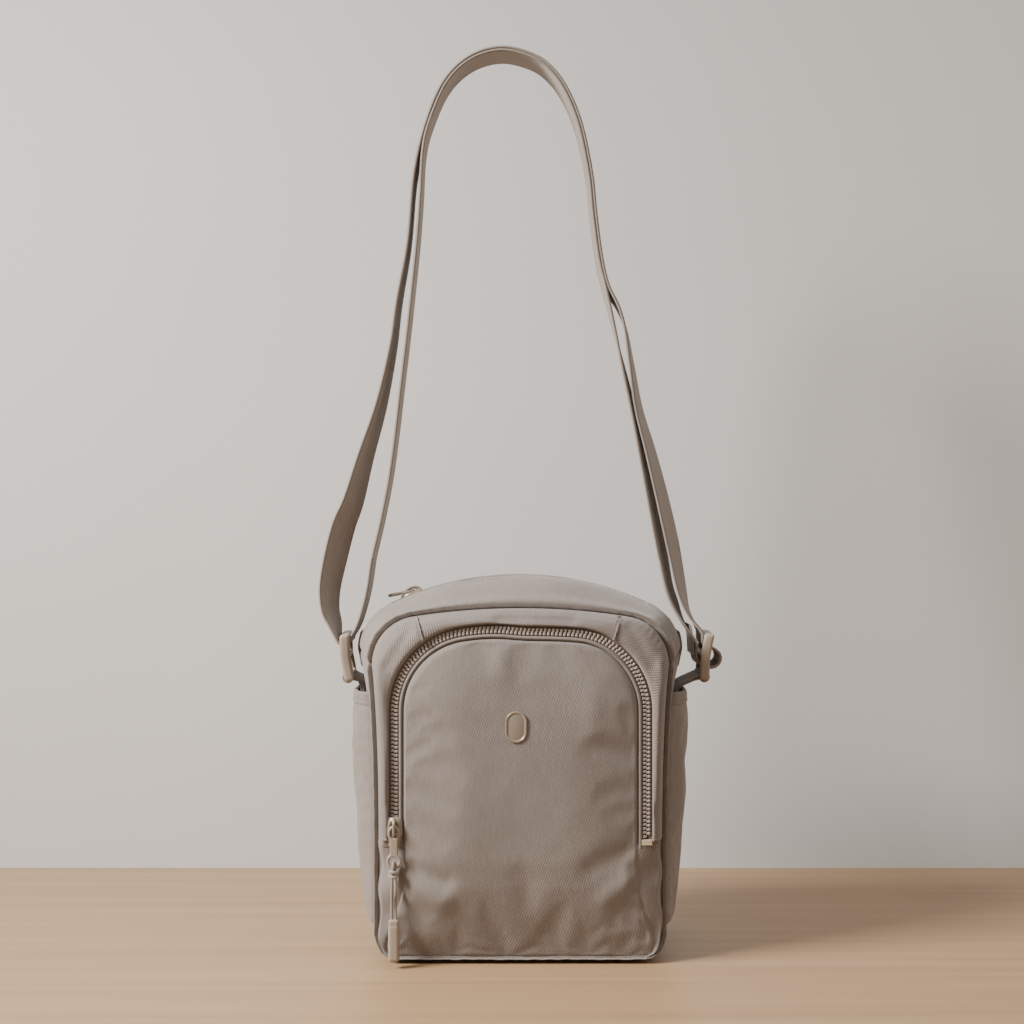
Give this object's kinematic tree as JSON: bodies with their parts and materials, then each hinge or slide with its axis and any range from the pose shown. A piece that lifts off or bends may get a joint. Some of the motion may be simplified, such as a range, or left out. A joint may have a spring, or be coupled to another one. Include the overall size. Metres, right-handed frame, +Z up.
{
  "type": "sling bag",
  "caption": "Small soft crossbody sling bag with a zipped main compartment, an arched zip front pocket, side slip pockets and a long doubled webbing strap.",
  "frame": {"origin": "middle of the base, on the surface that the bag stands on", "axes": "+Z up, the front of the bag faces -Y, +X to the right as seen from the front"},
  "size_m": [0.2354, 0.0915, 0.5318],
  "materials": {
    "fabric": "twill",
    "foam": "matte",
    "inside": "plain weave",
    "board": "matte",
    "tape": "woven tape",
    "plastic": "matte",
    "metal": "satin",
    "webbing": "woven webbing"
  },
  "bodies": {
    "bag": {"top_gusset_front": "fabric", "top_gusset_rear": "fabric", "lower_gusset": "fabric", "back_panel": "fabric", "pocket_back_wall": "fabric", "front_border": "fabric", "pocket_panel": "fabric", "pocket_side_left": "fabric", "pocket_side_right": "fabric", "side_pocket_left": "fabric", "side_pocket_right": "fabric", "side_pocket_hem_left": "fabric", "side_pocket_hem_right": "fabric", "back_foam": "foam", "front_foam": "foam", "front_seam_binding": "inside", "back_seam_binding": "inside", "lining": "inside", "inner_pocket": "inside", "base_board": "board", "pocket_zip_tapes": "tape", "main_zip_tapes": "tape", "pocket_zip_teeth": "plastic", "main_zip_teeth": "plastic", "pocket_zip_stops": "metal", "main_zip_stops": "metal", "badge": "metal", "badge_washer": "metal", "tab_left": "webbing", "tab_right": "webbing"},
    "buckle_left": {"buckle_left": "plastic", "strap_turn_left": "webbing"},
    "buckle_right": {"buckle_right": "plastic", "strap_turn_right": "webbing", "strap_join": "webbing"},
    "strap": {"strap_outer_run": "webbing", "strap_inner_run": "webbing", "strap_bartacks": "webbing"},
    "pocket_slider": {"pocket_slider": "metal"},
    "pocket_pull": {"pocket_pull": "plastic"},
    "pocket_cord": {"pocket_pull_cord": "webbing", "pocket_pull_tip": "plastic"},
    "main_slider": {"main_slider": "metal"},
    "main_pull": {"main_pull": "plastic"}
  },
  "joints": [
    {"name": "strap_swing", "type": "hinge", "parent": "bag", "child": "strap", "pos_m": [0, 0, 0.207], "axis": [1, 0, 0], "range_deg": [-75, 75]},
    {"name": "buckle_left_rock", "type": "hinge", "parent": "bag", "child": "buckle_left", "pos_m": [-0.1015, 0, 0.1595], "axis": [0, -1, 0], "range_deg": [-1, 6]},
    {"name": "buckle_right_rock", "type": "hinge", "parent": "bag", "child": "buckle_right", "pos_m": [0.1085, 0, 0.16], "axis": [0, 1, 0], "range_deg": [-1, 6]},
    {"name": "pocket_slider_travel", "type": "slide", "parent": "bag", "child": "pocket_slider", "axis": [0, 0, 1], "range_m": [0, 0.058]},
    {"name": "pocket_pull_flip", "type": "hinge", "parent": "pocket_slider", "child": "pocket_pull", "pos_m": [-0.07125, -0.049, 0.079], "axis": [-1, 0, 0], "range_deg": [0, 110]},
    {"name": "pocket_cord_swing", "type": "hinge", "parent": "pocket_pull", "child": "pocket_cord", "pos_m": [-0.07125, -0.049, 0.05705], "axis": [-1, 0, 0], "range_deg": [0, 70]},
    {"name": "main_slider_travel", "type": "hinge", "parent": "bag", "child": "main_slider", "pos_m": [0, 0, 0.035], "axis": [0, 1, 0], "range_deg": [0, 41]},
    {"name": "main_pull_flip", "type": "hinge", "parent": "main_slider", "child": "main_pull", "pos_m": [-0.06431, 0, 0.20988], "axis": [0, 1, 0], "range_deg": [0, 150]}
  ]
}
